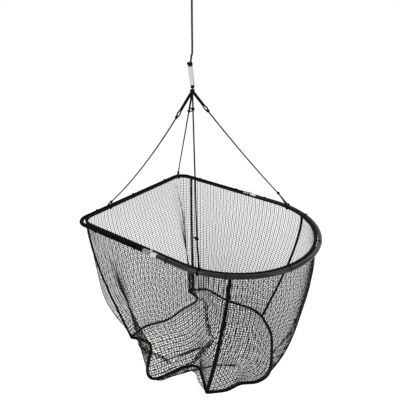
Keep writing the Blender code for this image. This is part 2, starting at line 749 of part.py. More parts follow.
def hauling_rope():
    """The rope with its loop and knots, the white sleeve and the doubled end that the bridles hang from."""
    lean = SLEEVE_WAY * -SLEEVE_LEAN
    sleeve_foot = on_rope(SLEEVE_FOOT)
    sleeve_top = on_rope(SLEEVE_FOOT + SLEEVE_LENGTH) + lean
    axis = (sleeve_top - sleeve_foot).normalized()
    stopper = sleeve_top + axis * (STOPPER_RADIUS + GAP)
    top_knot = on_rope(TOP_KNOT_HEIGHT)
    knot_radii = (TOP_KNOT_RADIUS, TOP_KNOT_RADIUS, TOP_KNOT_RADIUS * TOP_KNOT_STRETCH)
    pieces = [ball("rope_top_knot", top_knot, knot_radii)]
    knot_top = top_knot.z + knot_radii[2] + GAP
    tall = ROPE_RADIUS - knot_top
    loop = []
    for k in range(LOOP_STEPS + 1):
        turn = 2 * pi * k / LOOP_STEPS
        strand = (ROPE_RADIUS + GAP / 2) * cos(turn / 2)
        bulge = LOOP_WIDTH / 2 * sin(turn / 2) ** 2 * sin(turn) / LOOP_PEAK
        loop.append(Vector((strand + bulge, 0, knot_top + tall * (1 - cos(turn)) / 2)))
    pieces.append(cord("rope_top_loop", [loop], ROPE_RADIUS, BLACK_CORD))
    rope_foot = stopper + axis * (STOPPER_RADIUS + GAP) + SLEEVE_WAY * STOPPER_SIDE
    rope_top = Vector((0, 0, top_knot.z - knot_radii[2] - GAP))
    straight_from = Vector((0, 0, rope_foot.z + ROPE_BEND))
    route = smoothed([rope_foot, rope_foot.lerp(straight_from, 0.5) + axis * ROPE_RADIUS, straight_from,
                      straight_from.lerp(rope_top, 0.5), rope_top])
    count = round((rope_top - rope_foot).length / (5 * ROPE_RADIUS))
    pieces.append(cord("hauling_rope", [evenly(route, count)], ROPE_RADIUS, BLACK_CORD))
    stopper_radii = (STOPPER_RADIUS * STOPPER_WIDTH, STOPPER_RADIUS * STOPPER_WIDTH, STOPPER_RADIUS)
    pieces.append(ball("stopper_knot", stopper, stopper_radii, axis=axis))
    wall = [(SLEEVE_BORE, SLEEVE_LENGTH), (SLEEVE_RADIUS, SLEEVE_LENGTH), (SLEEVE_RADIUS, 0),
            (SLEEVE_BORE, 0), (SLEEVE_BORE, SLEEVE_LENGTH)]
    pieces.append(turned("rope_sleeve", wall, sleeve_foot, axis, WHITE_PLASTIC, steps=20))
    aside = SLEEVE_WAY * (ROPE_RADIUS + GAP / 2)
    gather_top = on_rope(GATHER_HEIGHT) + Vector((0, 0, GATHER_RADIUS + GAP))
    turn_centre = gather_top + Vector((0, 0, ROPE_RADIUS + aside.length))
    angles = [pi * k / EYE_TURN_STEPS for k in range(EYE_TURN_STEPS + 1)]
    turn = [turn_centre - aside * cos(a) - Vector((0, 0, aside.length * sin(a))) for a in angles]
    legs = [sleeve_top - axis * GAP - aside, sleeve_foot - aside] + turn
    legs += [sleeve_foot + aside, sleeve_top - axis * GAP + aside]
    pieces.append(cord("rope_eye", [legs], ROPE_RADIUS, BLACK_CORD))
    return pieces


def build():
    rope_line = body_empty("rope_line", (0, 0, 0))
    back_frame = body_empty("back_frame", on_rope(GATHER_HEIGHT))
    nose_frame = body_empty("nose_frame", rim_point(0, 0, PIVOT_HEIGHT))
    hold(rope_line, *hauling_rope())
    hold(back_frame, ball("bridle_gather_knot", on_rope(GATHER_HEIGHT), (GATHER_RADIUS,) * 3))
    for name, facts in BRIDLES.items():
        hold(back_frame, bridle(name, **facts))
    back, nose = back_outline(0, CORNER_RADIUS, TUBE_END), nose_outline(0, TUBE_END)
    hold(back_frame, rim_tube("back_tube", back))
    hold(nose_frame, rim_tube("nose_tube", nose))
    loops = [facts["rim"] for facts in BRIDLES.values()]
    hold(back_frame, *ties("back_tie", back, TIE_FROM_END, loops))
    hold(nose_frame, *ties("nose_tie", nose, TIE_FROM_END, loops))
    back_rope = placed(back_outline(ROPE_INSET, HEAD_ROPE_CORNER, GAP), ROPE_RISE)
    nose_rope = placed(nose_outline(ROPE_INSET, GAP), ROPE_RISE)
    hold(back_frame, cord("back_head_rope", [back_rope], HEAD_ROPE_RADIUS, BLACK_CORD))
    hold(nose_frame, cord("nose_head_rope", [nose_rope], HEAD_ROPE_RADIUS, BLACK_CORD))
    for side_name, side in (("right", -1), ("left", 1)):
        back_half, nose_half = hinge(side_name, side)
        hold(back_frame, *back_half, rivet(f"{side_name}_clevis_rivet", -RIVET_PLACE, side))
        hold(nose_frame, *nose_half, rivet(f"{side_name}_tongue_rivet", RIVET_PLACE, side))
    hold(back_frame, *bag())
    for tool in CUTTERS.objects:
        tool.hide_render = True
        tool.display_type = "WIRE"


build()
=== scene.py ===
"""Folding drop net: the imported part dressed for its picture.

Lengths are metres in the part's own frame: +Z is up, and +X runs from the back bar to the nose.
"""
import math

import bpy
import numpy as np
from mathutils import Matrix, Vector


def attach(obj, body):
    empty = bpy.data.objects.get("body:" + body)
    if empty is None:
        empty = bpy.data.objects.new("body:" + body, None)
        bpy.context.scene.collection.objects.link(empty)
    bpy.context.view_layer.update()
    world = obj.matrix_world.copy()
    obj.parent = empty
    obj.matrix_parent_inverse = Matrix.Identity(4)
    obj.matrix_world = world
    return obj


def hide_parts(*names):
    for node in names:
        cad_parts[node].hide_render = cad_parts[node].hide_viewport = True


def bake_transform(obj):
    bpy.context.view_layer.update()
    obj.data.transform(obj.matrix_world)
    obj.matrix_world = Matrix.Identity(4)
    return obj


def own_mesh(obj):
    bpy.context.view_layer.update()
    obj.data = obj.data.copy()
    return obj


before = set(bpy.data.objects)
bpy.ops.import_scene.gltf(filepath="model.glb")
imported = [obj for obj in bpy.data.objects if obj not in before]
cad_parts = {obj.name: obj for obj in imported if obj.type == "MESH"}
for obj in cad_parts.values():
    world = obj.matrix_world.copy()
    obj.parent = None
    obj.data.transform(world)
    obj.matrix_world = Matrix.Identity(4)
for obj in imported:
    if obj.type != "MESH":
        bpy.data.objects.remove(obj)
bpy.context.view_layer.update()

GAP = 0.0003
UP = np.array((0.0, 0.0, 1.0))

# Rim, on the tube's centreline, from its hinge centre
HUB = np.array((0.021, 0.050, -0.860))
HALF_WIDTH = 0.300
BACK_LENGTH = 0.375
NOSE_STRAIGHT = 0.1225
CORNER_RADIUS = 0.050
TUBE_RADIUS = 0.0075
TUBE_WALL = 0.0012
TUBE_END = 0.010
TUBE_SIDES = 32
CORNER_STEPS = 12
NOSE_STEPS = 64
ARC_POINTS = 60

# Head rope, and the hem of tape round it
CORD_RADIUS = 0.002
HEAD_ROPE_RADIUS = 0.003
HEAD_ROPE_CORNER = 0.046
HEAD_ROPE_ANGLE = math.radians(8)
ROPE_FROM_TUBE = TUBE_RADIUS + 2 * GAP + 2 * CORD_RADIUS + HEAD_ROPE_RADIUS
ROPE_INSET = ROPE_FROM_TUBE * math.cos(HEAD_ROPE_ANGLE)
ROPE_RISE = ROPE_FROM_TUBE * math.sin(HEAD_ROPE_ANGLE)
HEAD_ROPE_STEP = 0.0012
HEM_WIDE = 0.0060
HEM_TALL = 0.0034
HEM_SHIFT = 0.0006
HEM_SIDES = 14

# Rope, its sleeve and its knots
ROPE_RADIUS = 0.00325
ROPE_STEP = 0.0004
GATHER = np.array((0, 0, -0.377))
GATHER_RADIUS = 0.0078
GATHER_STRAND = 0.0025
GATHER_TURNS = 2.75
COIL_POINTS = 70
SLEEVE_FOOT = np.array((0, 0, -0.356))
SLEEVE_LENGTH = 0.058
SLEEVE_LEAN = 0.0067
SLEEVE_RADIUS = 0.0085
SLEEVE_BORE = 0.0071
SLEEVE_SIDES = 40
SLEEVE_RUNS = (0.06, 0.44, 0.44, 0.06)
SLEEVE_WAY = np.array((math.cos(math.radians(38)), math.sin(math.radians(38)), 0))
STOPPER_RADIUS = 0.0072
STOPPER_WIDTH = 0.009
STOPPER_SIDE = 0.004
TOP_KNOT_HEIGHT = -0.077
TOP_KNOT_WIDTH = 0.009
TOP_KNOT_TALL = 0.0126
ROPE_BEND = 0.030
LOOP_WIDTH = 0.036
LOOP_PEAK = 3 * math.sqrt(3) / 8
LOOP_POINTS = 120
LOOP_STEP = 0.0005
EYE_BEND_POINTS = 13
WHIPPING_RADIUS = 0.0028
WHIPPING_LIFT = 0.002
WHIPPING_STEP = 0.001

# How the braids are laid, and their knots
ROPE_LAY = {"strands": 4, "pitch": 0.012, "sides": 16}
BRIDLE_LAY = {"strands": 3, "pitch": 0.008, "sides": 10}
HEAD_ROPE_LAY = {"strands": 3, "pitch": 0.010, "sides": 10}
BRAID_RELIEF = 0.22
KNOT_STEPS = 60
KNOT_SIDES = 8
KNOT_STRAND = 0.95
TREFOIL_REACH = 2.6
TREFOIL_SIDE = (0.3, 1.0, 0.2)

# Bridles: where each meets the rim and the tube's way there, its knots' distances from its ends, its sag
BRIDLES = {
    "bridle_back_right": {"rim": (-0.375, -0.132), "way": (0, 1),
                          "top_knot": 0.090, "foot_knot": 0.014, "sag": 0.030},
    "bridle_back_left": {"rim": (-0.3683, 0.275), "way": (-0.38, -0.92),
                         "top_knot": 0.118, "foot_knot": 0.014, "sag": 0},
    "bridle_nose_left": {"rim": (0.178, 0.295), "way": (1, -0.19),
                         "top_knot": 0.077, "foot_knot": 0.074, "sag": 0.011},
    "bridle_nose_right": {"rim": (0.190, -0.2923), "way": (-1, -0.23),
                          "top_knot": 0.052, "foot_knot": 0.092, "sag": 0},
}
BRIDLE_RADIUS = 0.0026
BRIDLE_STEP = 0.0007
EYE_HALF = BRIDLE_RADIUS * 0.95
EYE_OPENING = 0.0022
EYE_OPENS_AT = 0.84
EYE_OPENS_OVER = 0.07
EYE_POINTS = 21
EYE_STEP = 0.002
HANG_POINTS = 32
KNOT_RADIUS = 0.0046
KNOT_WIDE = KNOT_RADIUS * 1.25
KNOT_TALL = KNOT_RADIUS * 1.2
TAG_LENGTH = 0.011
TAG_RADIUS = BRIDLE_RADIUS * 0.8
TAG_ASIDE = 0.8
TAG_BACK = 0.4
TAG_TURN = 0.3
TAG_FROM_END = 0.02
NECK_REACH = 1.8
NECK_OPENING = 0.9
LEG_ASIDE = BRIDLE_RADIUS * 0.8
TURN_POINTS = 25

# Bag: its seams at the rim, and the line round its bottom panel from the rim's hinge centre
SEAM_FROM_BACK_RIGHT = 0.025
SEAM_FROM_BACK_LEFT = 0.060
SEAM_X_NOSE = 0.275
SEAM_X_NOSE_LEFT = 0.262
NET_TOP = ROPE_RISE - HEAD_ROPE_RADIUS * 0.8
BOTTOM_CENTRE = np.array((0.040, -0.080, -0.550))
BOTTOM_RUNS = {
    "back": [(-0.188, -0.241, -0.480), (-0.183, -0.160, -0.475), (-0.142, -0.078, -0.475),
             (-0.131, 0.010, -0.470), (-0.125, 0.105, -0.470), (-0.188, 0.122, -0.460),
             (-0.172, 0.136, -0.458)],
    "side_left": [(-0.172, 0.136, -0.458), (-0.123, 0.172, -0.455), (-0.014, 0.168, -0.460),
                  (0.100, 0.188, -0.465), (0.160, 0.178, -0.470)],
    "nose": [(0.160, 0.178, -0.470), (0.229, 0.133, -0.490), (0.265, 0.085, -0.512),
             (0.308, 0.000, -0.545), (0.300, -0.070, -0.548), (0.262, -0.135, -0.532),
             (0.243, -0.196, -0.525), (0.209, -0.268, -0.500)],
    "side_right": [(0.209, -0.268, -0.500), (0.160, -0.228, -0.490), (0.117, -0.199, -0.490),
                   (0.058, -0.218, -0.510), (-0.022, -0.276, -0.570), (-0.070, -0.277, -0.563),
                   (-0.118, -0.203, -0.520), (-0.146, -0.217, -0.490), (-0.188, -0.241, -0.480)],
}

# Bag: how its walls hang out between rim and bottom
BELLY = 0.028
BELLY_RISE = 0.75
TAUT = 0.20
TAUT_REACH = 0.10
TAUT_ENDS = {"back": 0, "side_right": 1}
BACK_SLACK = 0.060
BACK_SLACK_RISE = 0.025
BACK_SLACK_REACH = 0.30
NOSE_SLACK = 0.019
SLACK_LOW = 2.2
PLEATS = {
    "back": {"wide": 0.026, "depth": 0.003, "marks": [(0.04, 0.865), (0.45, 0.905), (1, 0.91)]},
    "nose": {"wide": 0.05, "depth": 0.004, "marks": [(0.0, 0.36), (0.5, 0.34), (1, 0.32)]},
    "side_right": {"wide": 0.06, "depth": 0.005, "marks": [(0.55, 0.05), (0.80, 0.22), (1, 0.48)]},
}
PLEAT_OPENS_OVER = 0.3
PLEAT_CLOSES_FROM = 0.65
PLEAT_WIDTHS = (0, 1, 0.8, 0.1)

# Bag: the bottom panel's sag, its pouches (where, how wide, how far) and its pleats
BOTTOM_SAG = 0.055
SAG_FLAT_ALONG = 1.1
SAG_FLAT_ACROSS = 0.7
BOUND_EDGE = 0.03
BOTTOM_POUCHES = [((0.16, 0.08), (0.12, 0.10), (-0.062, -0.024, -0.034)),
                  ((0.85, 0.06), (0.16, 0.10), (-0.033, -0.014, -0.036))]
BOTTOM_PLEATS = [
    {"wide": 0.016, "route": [(0.06, 0.83), (0.19, 0.665), (0.33, 0.62)]},
    {"wide": 0.018, "route": [(0.365, 0.635), (0.355, 0.475), (0.395, 0.34), (0.415, 0.19), (0.455, 0.01)]},
    {"wide": 0.014, "route": [(0.135, 0.05), (0.225, 0.115), (0.345, 0.21)]},
]
LAYERS_STAND = (0.002, 0.004, 0.006)

# Netting: panel sizes, yarn halves, and how much fuller the yarn is at a panel's top and foot
PANEL_SIZES = {"back": (0.57, 0.50), "side_left": (0.49, 0.48), "nose": (0.57, 0.53),
               "side_right": (0.57, 0.54), "bottom": (0.43, 0.36)}
MESH = 0.0076
WALE_HALF = 0.0013
THIN_WALE_HALF = 0.0007
LINK_HALF = 0.0008
TWINE_HALF = 0.0006
TWINE_PROUD = 1.2
WANDER = 0.10
WANDER_DOWN = 37
WANDER_ALONG = 2.4
CLOSING = {"back": (0, 0.2), "side_left": (0, 0.35), "nose": (0, 0.45), "side_right": (0, 0.15),
           "bottom": (0.55, 0.75)}
PLEAT_CLOSING = (0.4, 0.8)
CROWDED_STEP = 0.0045
CROWDED_LEAST = 0.35

# Bindings
SEAM_HALVES = {"seam_back_right": 0.0050, "seam_back_left": 0.0046, "seam_nose_left": 0.0046,
               "seam_nose_right": 0.0058, "seam_bottom": 0.0060}
SEAM_CORNERS = {"seam_back_right": ("back", "back_frame"), "seam_back_left": ("side_left", "back_frame"),
                "seam_nose_left": ("nose", "nose_frame"), "seam_nose_right": ("side_right", "nose_frame")}
SEAM_POINTS = 90
SEAM_STEP = 0.003
SEAM_FLAT = 0.72
THREAD_RADIUS = 0.0006
THREAD_PITCH = 0.006
THREAD_STEP = THREAD_PITCH / 8
THREAD_PROUD = THREAD_RADIUS * 0.4

# Patterns in the finishes, by the size of their marks. Grit, filaments, twist and weave are finer on the
# real net, and are drawn this coarse so that they show: the tape has 13 threads in 10 mm.
DYE_CLOUD = 0.025
TUBE_GRIT = 0.010 / 16
PLATING_BLOTCH = 0.050 / 13
SCRATCH = (0.010 / 3, 0.010 / 40, 0.010 / 40)
FILAMENT = 0.010 / 25
TAR_WEAR = 0.100 / 9
TWINE_TWIST = 0.00103646
TAPE_WEAVE = 0.010 / 13
SLEEVE_HAZE = 0.050 / 11

# Stage: each lamp's place, width and power, and the photograph's camera
FLOOR_SIZE = 80
FLOOR_HEIGHT = -2.2
FLOOR_GLOW = 0.6
WORLD_LIGHT = 0.55
LAMPS = {"key": ((-0.62, -2.65, 1.2), 0.9, 44), "fill": ((2.9, 0.1, 0.6), 0.9, 22),
         "back": ((0.6, 2.4, 1.2), 1.6, 16)}
LAMP_TALL = 2.8
LAMP_AIM = Vector((0, 0, -0.95))
CAMERA_LENS = 44.04
CAMERA_AZIMUTH = math.radians(37.88)
CAMERA_ELEVATION = math.radians(24.58)
CAMERA_AIM = Vector((-0.0288, 0.077, -0.800))
CAMERA_DISTANCE = 1.8318


# Materials
def colour(code):
    """An sRGB hex colour as the linear one that a shader takes."""
    parts = [int(code[k:k + 2], 16) / 255 for k in (1, 3, 5)]
    return (*[p / 12.92 if p <= 0.04045 else ((p + 0.055) / 1.055) ** 2.4 for p in parts], 1.0)


def wired(tree, node, inputs):
    """A node with its inputs given. Each is a plain value or another node's output."""
    for key, value in inputs.items():
        socket = node.inputs[key]
        if isinstance(value, bpy.types.NodeSocket):
            tree.links.new(value, socket)
        else:
            socket.default_value = value
    return node


def add(tree, kind, inputs, **settings):
    """A new node with its settings and inputs."""
    node = tree.nodes.new(kind)
    for key, value in settings.items():
        setattr(node, key, value)
    return wired(tree, node, inputs)


def new_material(name, values):
    """A material with these shader values. Gives it, its tree, its shader and its place in the object."""
    made = bpy.data.materials.new(name)
    made.use_nodes = True
    tree = made.node_tree
    shader = wired(tree, tree.nodes["Principled BSDF"], values)
    return made, tree, shader, add(tree, "ShaderNodeTexCoord", {}).outputs["Object"]


def anodised_tube(name, dark, light, roughness, level):
    """Drawn aluminium tube, dyed black: fine grit in the surface and a slight cloud in the dye."""
    made, tree, shader, place = new_material(name, {"IOR": 1.5, "Specular IOR Level": level})
    cloud = add(tree, "ShaderNodeTexNoise", {"Vector": place, "Scale": 1 / DYE_CLOUD, "Detail": 3.0})
    tint = add(tree, "ShaderNodeMix", {0: cloud.outputs["Fac"], 6: colour(dark), 7: colour(light)},
               data_type="RGBA")
    rough = add(tree, "ShaderNodeMapRange", {"Value": cloud.outputs["Fac"], "To Min": roughness - 0.05,
                                             "To Max": roughness + 0.08})
    grit = add(tree, "ShaderNodeTexNoise", {"Vector": place, "Scale": 1 / TUBE_GRIT, "Detail": 2.0})
    bump = add(tree, "ShaderNodeBump", {"Height": grit.outputs["Fac"], "Strength": 0.15, "Distance": 0.0002})
    wired(tree, shader, {"Base Color": tint.outputs[2], "Roughness": rough.outputs["Result"],
                         "Normal": bump.outputs["Normal"]})
    return made


def zinc_plate(name, dark, light):
    """Pressed steel, zinc plated: soft blotches in the plating and fine scratches."""
    made, tree, shader, place = new_material(name, {"Metallic": 1.0})
    blotch = add(tree, "ShaderNodeTexNoise", {"Vector": place, "Scale": 1 / PLATING_BLOTCH, "Detail": 4.0})
    tint = add(tree, "ShaderNodeMix", {0: blotch.outputs["Fac"], 6: colour(dark), 7: colour(light)},
               data_type="RGBA")
    rough = add(tree, "ShaderNodeMapRange", {"Value": blotch.outputs["Fac"], "To Min": 0.22, "To Max": 0.42})
    lines = add(tree, "ShaderNodeMapping", {"Vector": place, "Scale": [1 / size for size in SCRATCH]})
    scratch = add(tree, "ShaderNodeTexNoise", {"Vector": lines.outputs["Vector"], "Scale": 1.0,
                                               "Detail": 2.0})
    bump = add(tree, "ShaderNodeBump", {"Height": scratch.outputs["Fac"], "Strength": 0.12,
                                        "Distance": 0.0001})
    wired(tree, shader, {"Base Color": tint.outputs[2], "Roughness": rough.outputs["Result"],
                         "Normal": bump.outputs["Normal"]})
    return made


def braided_cord(name, dark, light):
    """Braided polyester: dull filaments, and where the mesh says so a strand of light ones."""
    made, tree, shader, place = new_material(name, {"Roughness": 0.78, "IOR": 1.45,
                                                    "Specular IOR Level": 0.06,
                                                    "Sheen Weight": 0.03, "Sheen Roughness": 0.5})
    fleck = add(tree, "ShaderNodeAttribute", {}, attribute_name="fleck")
    fibre = add(tree, "ShaderNodeTexNoise", {"Vector": place, "Scale": 1 / FILAMENT, "Detail": 3.0})
    body = add(tree, "ShaderNodeMix", {0: fibre.outputs["Fac"], 6: colour(dark), 7: colour("#161514")},
               data_type="RGBA")
    tint = add(tree, "ShaderNodeMix", {0: fleck.outputs["Fac"], 6: body.outputs[2], 7: colour(light)},
               data_type="RGBA")
    bump = add(tree, "ShaderNodeBump", {"Height": fibre.outputs["Fac"], "Strength": 0.3, "Distance": 0.0002})
    wired(tree, shader, {"Base Color": tint.outputs[2], "Normal": bump.outputs["Normal"]})
    return made


def twine():
    """Tarred nylon twine: dark, slightly warm, duller where the tar has worn."""
    made, tree, shader, place = new_material("tarred_nylon_twine", {"Roughness": 0.7, "IOR": 1.5,
                                                                    "Specular IOR Level": 0.08})
    wear = add(tree, "ShaderNodeTexNoise", {"Vector": place, "Scale": 1 / TAR_WEAR, "Detail": 4.0})
    tint = add(tree, "ShaderNodeMix", {0: wear.outputs["Fac"], 6: colour("#17110d"), 7: colour("#352923")},
               data_type="RGBA")
    # A diagonal wave of Scale 1 has 10 * sqrt(3) radians a metre
    scale = 2 * math.pi / (10 * math.sqrt(3) * TWINE_TWIST)
    twist = add(tree, "ShaderNodeTexWave", {"Vector": place, "Scale": scale, "Distortion": 1.0},
                bands_direction="DIAGONAL")
    bump = add(tree, "ShaderNodeBump", {"Height": twist.outputs["Fac"], "Strength": 0.4, "Distance": 0.0002})
    wired(tree, shader, {"Base Color": tint.outputs[2], "Normal": bump.outputs["Normal"]})
    return made


def binding_tape():
    """Woven polyester tape, folded round the net's edges: a plain weave, nearly black."""
    made, tree, shader, place = new_material("woven_binding_tape", {"Roughness": 0.85, "Sheen Weight": 0.02,
                                                                    "Specular IOR Level": 0.05})
    weave = add(tree, "ShaderNodeTexVoronoi", {"Vector": place, "Scale": 1 / TAPE_WEAVE})
    tint = add(tree, "ShaderNodeMix", {0: weave.outputs["Distance"], 6: colour("#060606"),
                                       7: colour("#121111")}, data_type="RGBA")
    bump = add(tree, "ShaderNodeBump", {"Height": weave.outputs["Distance"], "Strength": 0.5,
                                        "Distance": 0.0003})
    wired(tree, shader, {"Base Color": tint.outputs[2], "Normal": bump.outputs["Normal"]})
    return made


def sleeve_plastic():
    """Extruded polythene, milky: lets a little light in, with a faint haze of handling marks."""
    made, tree, shader, place = new_material("milky_polythene", {"Roughness": 0.38, "IOR": 1.51,
                                                                 "Subsurface Weight": 0.25,
                                                                 "Subsurface Scale": 0.002})
    haze = add(tree, "ShaderNodeTexNoise", {"Vector": place, "Scale": 1 / SLEEVE_HAZE, "Detail": 3.0})
    tint = add(tree, "ShaderNodeMix", {0: haze.outputs["Fac"], 6: colour("#d5d5d1"), 7: colour("#e9e9e6")},
               data_type="RGBA")
    bump = add(tree, "ShaderNodeBump", {"Height": haze.outputs["Fac"], "Strength": 0.1, "Distance": 0.0003})
    wired(tree, shader, {"Base Color": tint.outputs[2], "Normal": bump.outputs["Normal"]})
    return made


# Two copies of one black anodised tube: the back half's is duller and a shade darker, painted shade; the
# nose half's is glossier and a shade lighter, painted light.
TUBE_MATT_PAINTED_SHADE = anodised_tube("black_anodised_aluminium_matt_painted_shade", "#030304", "#08080a", 0.55, 0.03)
TUBE_SATIN_PAINTED_LIGHT = anodised_tube("black_anodised_aluminium_satin_painted_light", "#040506", "#0a0c0e", 0.18, 0.28)
# Two copies of one zinc plate: the clevis, bolt and nut get the darker one, painted shade; the hinge tongue
# and rivets get the lighter one, painted light.
ZINC_PAINTED_SHADE = zinc_plate("zinc_plated_steel_painted_shade", "#6d6f72", "#95979a")
ZINC_PAINTED_LIGHT = zinc_plate("zinc_plated_steel_painted_light", "#a9abad", "#d6d7d6")
ROPE_BRAID = braided_cord("flecked_polyester_braid", "#050505", "#5e5b57")
CORD_BRAID = braided_cord("black_polyester_braid", "#060606", "#1b1a1a")
TWINE = twine()
TAPE = binding_tape()
POLYTHENE = sleeve_plastic()


# Pieces
def dress(piece, material):
    piece.data.materials.clear()
    piece.data.materials.append(material)
    return piece


def mesh_piece(name, vertices, faces, material, slot, fleck=None):
    """A smooth mesh object from vertices and faces in the part's frame."""
    mesh = bpy.data.meshes.new(name)
    mesh.from_pydata(np.asarray(vertices).tolist(), [], faces)
    mesh.shade_smooth()
    if fleck is not None:
        light = mesh.attributes.new("fleck", "FLOAT", "POINT")
        light.data.foreach_set("value", np.asarray(fleck, np.float32))
    made = bpy.data.objects.new(name, mesh)
    bpy.context.scene.collection.objects.link(made)
    return dress(made, material)


def cord_piece(name, vertices, faces, material=CORD_BRAID, fleck=None):
    return mesh_piece(name, vertices, faces, material, "black_cord", fleck)


# Lines
def unit(vectors):
    vectors = np.asarray(vectors, float)
    return vectors / np.linalg.norm(vectors, axis=-1, keepdims=True)


def reach_along(line):
    return np.concatenate([[0.0], np.cumsum(np.linalg.norm(np.diff(line, axis=0), axis=1))])


def at_shares(line, shares):
    """Points at shares of a line's length."""
    marks = reach_along(line)
    return np.column_stack([np.interp(shares, marks / marks[-1], line[:, k]) for k in range(line.shape[1])])


def evenly(line, step):
    """A line again with its points a step apart."""
    count = max(2, round(reach_along(line)[-1] / step))
    return at_shares(line, np.linspace(0, 1, count + 1))


def smoothed(points, steps=24):
    """A smooth curve through points, a Catmull-Rom line."""
    points = np.asarray(points, float)
    ends = np.vstack([2 * points[0] - points[1], points, 2 * points[-1] - points[-2]])
    t = (np.arange(steps) / steps)[:, None]
    line = []
    for a, b, c, d in zip(ends, ends[1:], ends[2:], ends[3:]):
        line.append(0.5 * (2 * b + (c - a) * t + (2 * a - 5 * b + 4 * c - d) * t ** 2
                           + (3 * b - a - 3 * c + d) * t ** 3))
    return np.vstack(line + [points[-1:]])


def sides_of(line, closed=False):
    """Side and up at each point of a line, carried along it without twist."""
    if closed:
        way = unit(np.roll(line, -1, axis=0) - np.roll(line, 1, axis=0))
    else:
        way = unit(np.gradient(line, axis=0))
    side = np.empty_like(way)
    first = np.cross(way[0], UP)
    if np.linalg.norm(first) < 0.1:
        first = np.cross(way[0], (1.0, 0.0, 0.0))
    side[0] = unit(first)
    for k in range(1, len(line)):
        side[k] = unit(side[k - 1] - way[k] * (side[k - 1] @ way[k]))
    return side, np.cross(way, side)


def section(side, up, angles):
    """The way out from each point of a line at each angle round it: points x angles x 3."""
    return side[:, None, :] * np.cos(angles)[None, :, None] + up[:, None, :] * np.sin(angles)[None, :, None]


def skin(rings, closed=False):
    """Faces over rings of vertices, rings x sides, with a cap at each end of an open run."""
    count, sides = rings
    faces = []
    for k in range(count if closed else count - 1):
        here, there = k * sides, (k + 1) % count * sides
        for j in range(sides):
            nxt = (j + 1) % sides
            faces.append((here + j, here + nxt, there + nxt, there + j))
    if not closed:
        faces.append(tuple(range(sides - 1, -1, -1)))
        faces.append(tuple(range((count - 1) * sides, count * sides)))
    return faces


def tube(line, radius, sides=10, closed=False, flat=1.0):
    """Vertices and faces of a round tube along a line."""
    line = np.asarray(line, float)
    side, up = sides_of(line, closed)
    turn = np.linspace(0, 2 * math.pi, sides, endpoint=False)
    ring = section(side, up * flat, turn) * radius
    return (line[:, None, :] + ring).reshape(-1, 3), skin((len(line), sides), closed)


def braid(line, radius, strands, pitch, sides, flecked=False):
    """Vertices, faces and light strands of a braided cord: two sets of strands that pass over each other."""
    line = np.asarray(line, float)
    turn = np.arange(sides) / sides
    reach = reach_along(line)[:, None]
    right = strands * turn[None, :] + reach / pitch * strands
    left = strands * turn[None, :] - reach / pitch * strands
    over = (np.floor(right) + np.floor(left)) % 2 == 0
    across = np.where(over, right, left) % 1
    lengthways = np.where(over, left, right) % 1
    crown = np.sin(math.pi * across) ** 0.6 * (0.65 + 0.35 * np.sin(math.pi * lengthways))
    height = radius * (1 - BRAID_RELIEF * (1 - crown))
    ring = section(*sides_of(line), turn * 2 * math.pi)
    vertices = (line[:, None, :] + ring * height[:, :, None]).reshape(-1, 3)
    light = over & (np.floor(right) % strands == 0) & (crown > 0.5) & flecked
    return vertices, skin((len(line), sides)), light.ravel()


def braided_piece(name, line, radius, lay, material=CORD_BRAID, flecked=False):
    vertices, faces, light = braid(line, radius, flecked=flecked, **lay)
    return cord_piece(name, vertices, faces, material, light)


def joined(parts):
    """Several vertex and face lists as one."""
    vertices, faces, start = [], [], 0
    for points, polygons in parts:
        vertices.append(points)
        faces += [tuple(index + start for index in face) for face in polygons]
        start += len(points)
    return np.vstack(vertices), faces


def overhand_knot(centre, axis, wide, tall, radius):
    """A tight overhand knot, half as wide and half as tall as said: the trefoil, laid across its axis."""
    axis = unit(axis)
    side = unit(np.cross(axis, TREFOIL_SIDE))
    up = np.cross(axis, side)
    t = np.linspace(0, 2 * math.pi, KNOT_STEPS, endpoint=False)
    across = (wide - radius) / TREFOIL_REACH
    line = (np.outer(np.sin(t) + 2 * np.sin(2 * t), side) * across
            + np.outer(np.cos(t) - 2 * np.cos(2 * t), up) * across
            - np.outer(np.sin(3 * t), axis) * (tall - radius))
    return tube(line + centre, radius, KNOT_SIDES, closed=True)


# Rope and sleeve
def loop_line():
    """The rope's upper loop: up one side from the knot and down the other."""
    knot_top = TOP_KNOT_HEIGHT + TOP_KNOT_TALL + GAP
    turn = np.linspace(0, 2 * math.pi, LOOP_POINTS)
    strand = (ROPE_RADIUS + GAP / 2) * np.cos(turn / 2)
    bulge = LOOP_WIDTH / 2 * np.sin(turn / 2) ** 2 * np.sin(turn) / LOOP_PEAK
    tall = ROPE_RADIUS - knot_top
    return np.column_stack([strand + bulge, 0 * turn, knot_top + tall * (1 - np.cos(turn)) / 2])


def rope_eye(top, axis):
    """The rope doubled back through the sleeve, round the gather, and whipped together below."""
    aside = SLEEVE_WAY * (ROPE_RADIUS + GAP / 2)
    reach = np.linalg.norm(aside)
    centre = GATHER + UP * (GATHER_RADIUS + GAP) + UP * (ROPE_RADIUS + reach)
    angles = np.linspace(0, math.pi, EYE_BEND_POINTS)
    bend = [centre - aside * math.cos(a) - UP * reach * math.sin(a) for a in angles]
    below = top - axis * GAP
    legs = [below - aside, SLEEVE_FOOT - aside] + bend + [SLEEVE_FOOT + aside, below + aside]
    vertices, faces, _ = braid(evenly(smoothed(legs, 8), ROPE_STEP), ROPE_RADIUS, **ROPE_LAY)
    whipped = np.array([SLEEVE_FOOT + UP * WHIPPING_LIFT, centre - UP * reach])
    whipping = tube(evenly(whipped, WHIPPING_STEP), WHIPPING_RADIUS)
    return cord_piece("rope_eye_braid", *joined([(vertices, faces), whipping]))


